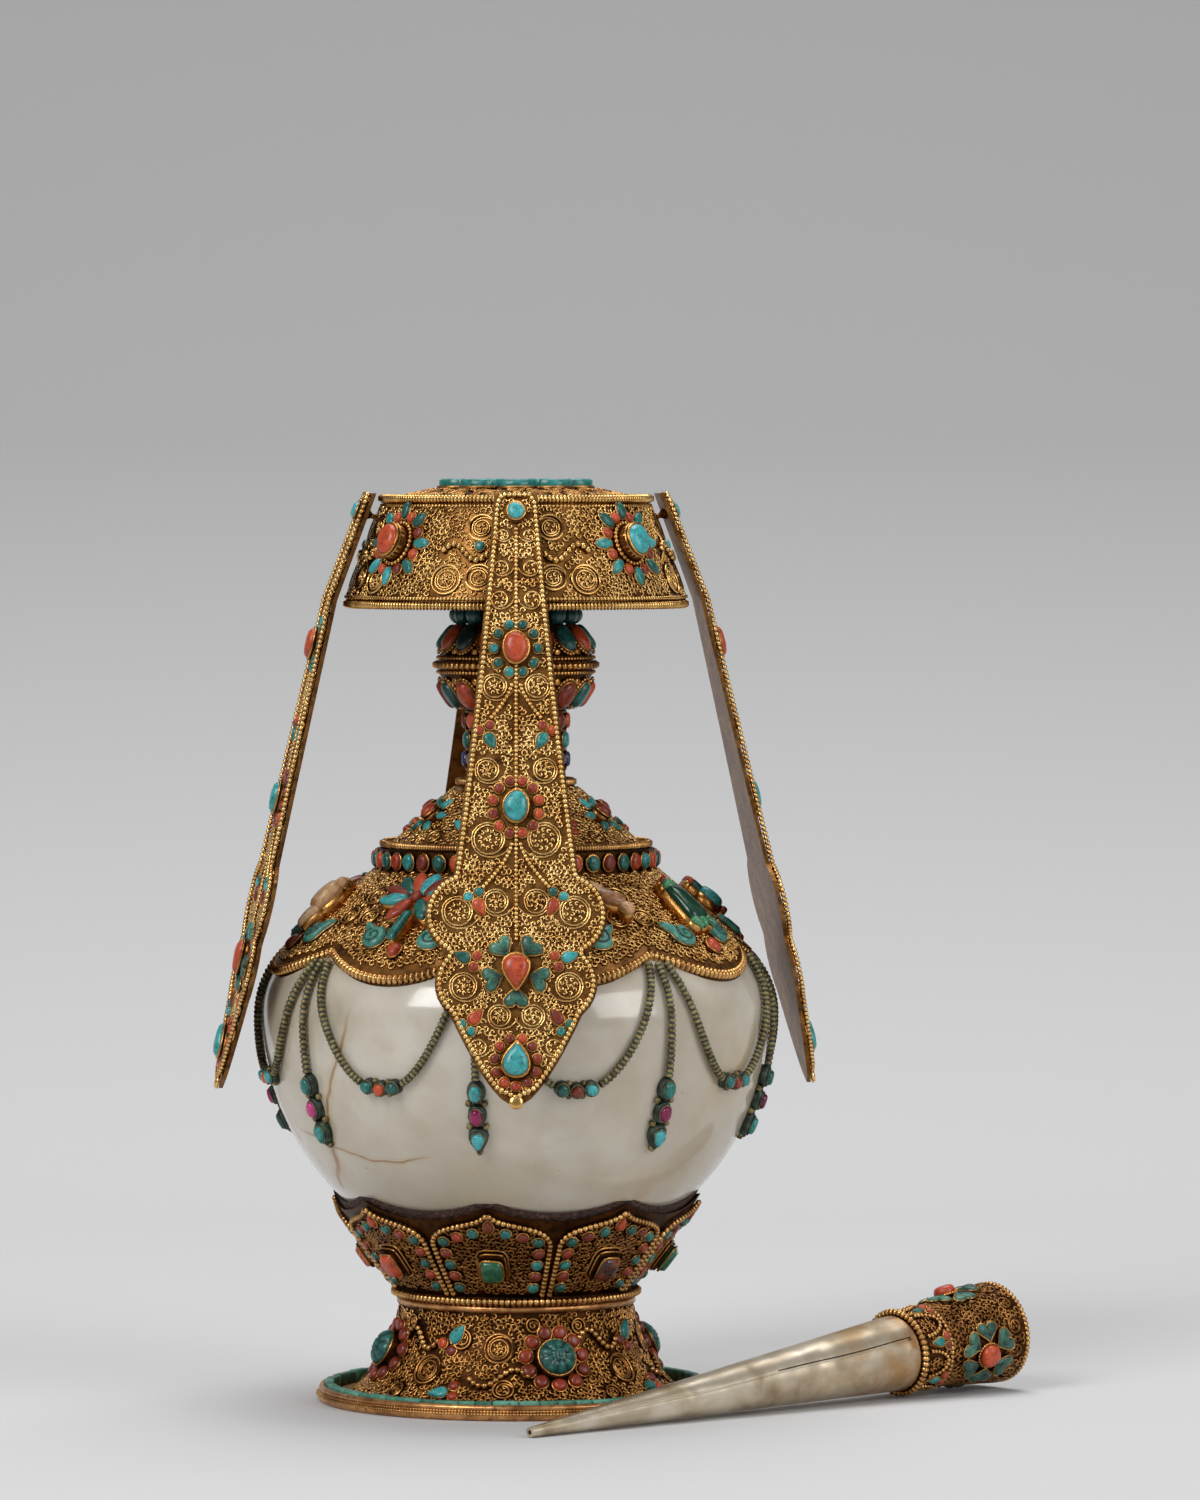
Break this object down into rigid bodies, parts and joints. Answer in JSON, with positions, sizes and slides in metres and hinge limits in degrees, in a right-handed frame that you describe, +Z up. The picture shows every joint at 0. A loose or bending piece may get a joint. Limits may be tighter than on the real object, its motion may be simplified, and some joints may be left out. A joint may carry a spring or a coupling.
{
  "type": "tibetan bumpa vase",
  "caption": "Ritual vase: milky crystal body in gilt filigree with coral and turquoise, flared canopy, hanging plates that swing on pins, and a loose silver sprinkler.",
  "frame": {"origin": "centre of the foot plate's underside, on the table", "axes": "+Z up along the mouth's axis, -Y the side that the picture shows, +X to the right"},
  "size_m": [0.2524, 0.1961, 0.2835],
  "materials": {
    "gilt": "gilt filigree, worn",
    "copper_gilt": "gilt copper filigree, browned",
    "turquoise": "polished turquoise with dark veins",
    "coral": "polished coral",
    "green_stone": "polished green stone",
    "shell": "carved shell and stone",
    "patina": "wound gilt wire with green patina",
    "pitch": "dark pitch cement",
    "crystal": "milky rock crystal, polished",
    "silver": "aged beaten silver"
  },
  "bodies": {
    "vase": {"foot_plate": "gilt", "plate_inlay_ring": "turquoise", "foot_cone": "copper_gilt", "foot_turquoises": "turquoise", "waist_rope": "gilt", "lotus_cup": "copper_gilt", "petal_borders": "gilt", "petal_stones": "green_stone", "pitch_bed": "pitch", "crystal_body": "crystal", "shoulder_cape": "copper_gilt", "cape_edge_wire": "gilt", "emblem_stones": "shell", "cape_turquoises": "turquoise", "festoon_ropes": "patina", "festoon_settings": "patina", "festoon_turquoises": "turquoise", "festoon_corals": "coral", "gem_band": "gilt", "band_turquoises": "turquoise", "band_corals": "coral", "neck_dome": "copper_gilt", "dome_ropes": "gilt", "mouth_tube": "gilt", "lower_neck": "copper_gilt", "neck_turquoises": "turquoise", "neck_corals": "coral", "knop": "copper_gilt", "knop_rope": "gilt", "knop_turquoises": "turquoise", "knop_corals": "coral", "collar_beads": "turquoise", "canopy_floor": "copper_gilt", "canopy_wall": "gilt", "canopy_top": "copper_gilt", "canopy_ropes": "gilt", "canopy_turquoises": "turquoise", "canopy_corals": "coral", "top_rosette": "turquoise"},
    "front_lappet": {"front_plate": "gilt", "front_border": "gilt", "front_turquoises": "turquoise", "front_corals": "coral"},
    "right_lappet": {"right_plate": "gilt", "right_border": "gilt", "right_turquoises": "turquoise", "right_corals": "coral"},
    "back_lappet": {"back_plate": "gilt", "back_border": "gilt", "back_turquoises": "turquoise", "back_corals": "coral"},
    "left_lappet": {"left_plate": "gilt", "left_border": "gilt", "left_turquoises": "turquoise", "left_corals": "coral"},
    "sprinkler": {"sprinkler_cone": "silver", "sprinkler_collar": "gilt", "sprinkler_ropes": "gilt", "sprinkler_stones": "coral"}
  },
  "joints": [
    {"name": "front_lappet_swing", "type": "hinge", "parent": "vase", "child": "front_lappet", "pos_m": [0, -0.04611, 0.27259], "axis": [0, -0.9349, 0.3549], "range_deg": [-15, 15]},
    {"name": "right_lappet_swing", "type": "hinge", "parent": "vase", "child": "right_lappet", "pos_m": [0.04577, 0.00562, 0.27259], "axis": [0.9279, 0.1139, 0.3549], "range_deg": [-15, 15]},
    {"name": "back_lappet_swing", "type": "hinge", "parent": "vase", "child": "back_lappet", "pos_m": [-0.00402, 0.04594, 0.27259], "axis": [-0.0815, 0.9313, 0.3549], "range_deg": [-15, 15]},
    {"name": "left_lappet_swing", "type": "hinge", "parent": "vase", "child": "left_lappet", "pos_m": [-0.04577, -0.00562, 0.27259], "axis": [-0.9279, -0.1139, 0.3549], "range_deg": [-15, 15]},
    {"name": "sprinkler_lift", "type": "slide", "parent": "vase", "child": "sprinkler", "axis": [0.4731, -0.5255, 0.7071], "range_m": [0, 0.25]}
  ]
}
